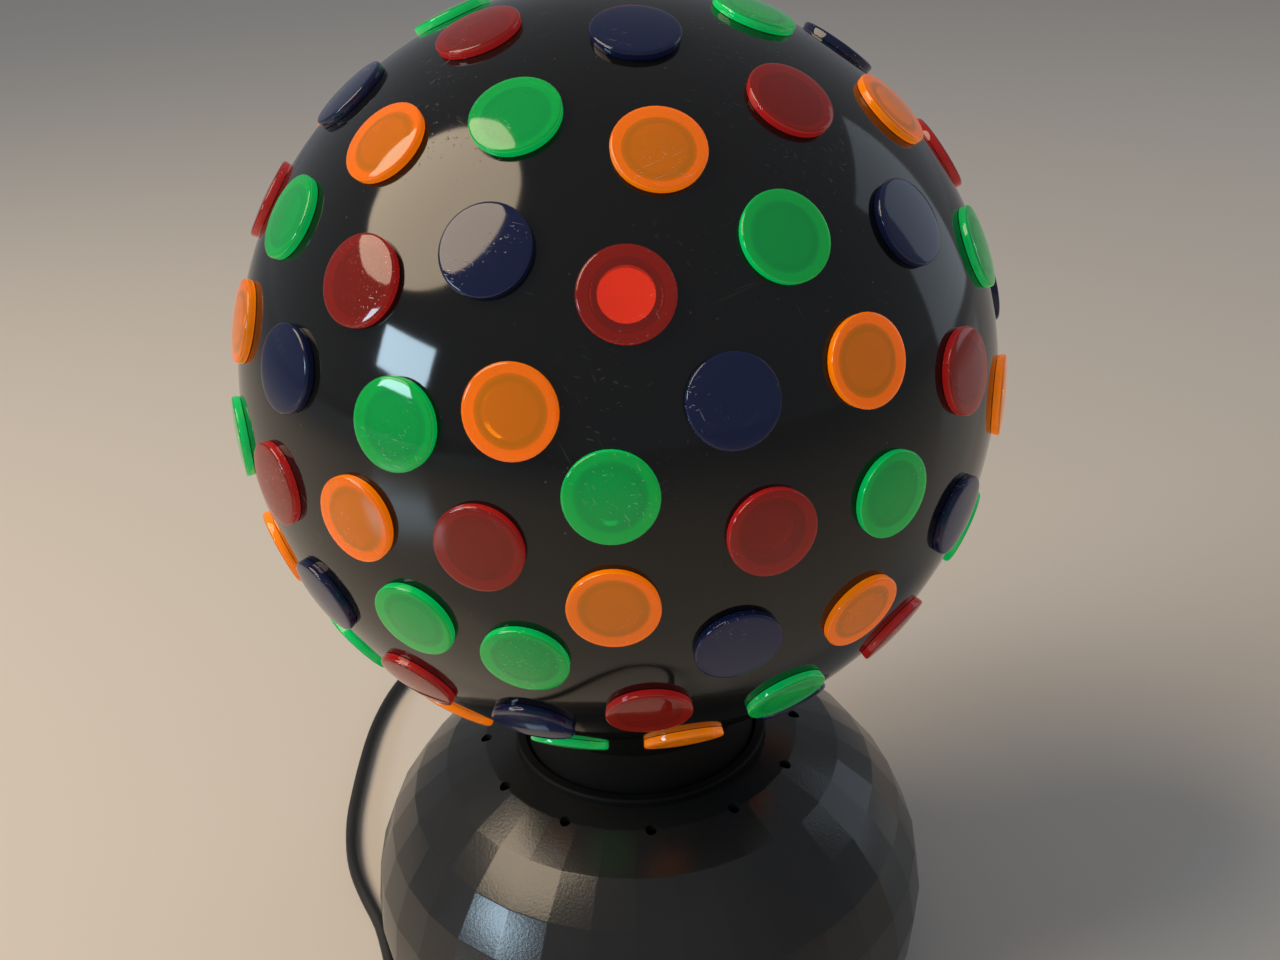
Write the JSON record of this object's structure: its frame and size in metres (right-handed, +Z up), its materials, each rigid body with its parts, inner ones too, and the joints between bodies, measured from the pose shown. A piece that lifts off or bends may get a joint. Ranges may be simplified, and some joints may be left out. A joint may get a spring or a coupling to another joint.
{
  "type": "rotating party lamp",
  "caption": "Table lamp with a glossy black globe set with coloured lenses, turned by a geared motor on a faceted plastic stand with a mains cord.",
  "frame": {"origin": "on the standing surface under the feet, on the globe's spin axis", "axes": "+Z up along the spin axis; -Y towards the viewer of the picture"},
  "size_m": [0.319, 0.5167, 0.4588],
  "materials": {
    "base_plastic": "black moulded plastic with a satin face and fine dust",
    "globe_black": "high-gloss black plastic with hairline scratches",
    "lens_red": "clear dark red moulded lens",
    "lens_orange": "clear orange moulded lens",
    "lens_green": "clear green moulded lens",
    "lens_blue": "clear dark blue moulded lens",
    "rubber": "matt black rubber",
    "cord_rubber": "smooth black sheath",
    "zinc_steel": "zinc-plated steel",
    "aluminium": "turned aluminium",
    "brass": "plain brass",
    "white_plastic": "off-white plastic",
    "holder_plastic": "black moulded plastic",
    "bulb_glass": "lightly frosted glass"
  },
  "bodies": {
    "stand": {"base_shell": "base_plastic", "neck_ring": "base_plastic", "base_plate": "base_plastic", "rubber_feet": "rubber", "base_screws": "zinc_steel", "chassis_plate": "zinc_steel", "pillars": "aluminium", "pillar_screws": "zinc_steel", "stem": "zinc_steel", "stem_nuts": "brass", "thrust_washer": "white_plastic", "lamp_holder": "holder_plastic", "thread_sleeve": "brass", "bulb_cap": "aluminium", "bulb_glass": "bulb_glass", "motor": "zinc_steel", "motor_screws": "zinc_steel", "terminal_block": "white_plastic", "inner_lead": "cord_rubber", "strain_relief": "cord_rubber", "cord": "cord_rubber", "cord_coil": "cord_rubber", "cord_tie": "rubber", "cord_tail": "cord_rubber", "plug_body": "cord_rubber", "plug_pins": "brass"},
    "ball": {"turntable": "base_plastic", "bush": "brass", "clamp_ring": "zinc_steel", "clamp_screws": "zinc_steel", "globe": "globe_black", "lenses_red": "lens_red", "lenses_orange": "lens_orange", "lenses_green": "lens_green", "lenses_blue": "lens_blue"},
    "drive": {"motor_shaft": "zinc_steel", "pinion": "white_plastic"}
  },
  "joints": [
    {"name": "ball_spin", "type": "hinge", "parent": "stand", "child": "ball", "pos_m": [0, 0, 0.0906], "axis": [0, 0, 1], "continuous": true},
    {"name": "drive_spin", "type": "hinge", "parent": "stand", "child": "drive", "pos_m": [0.06, 0, 0.0816], "axis": [0, 0, 1], "continuous": true}
  ],
  "couplings": [
    {"joint": "drive_spin", "follows": "ball_spin", "ratio": -4}
  ]
}
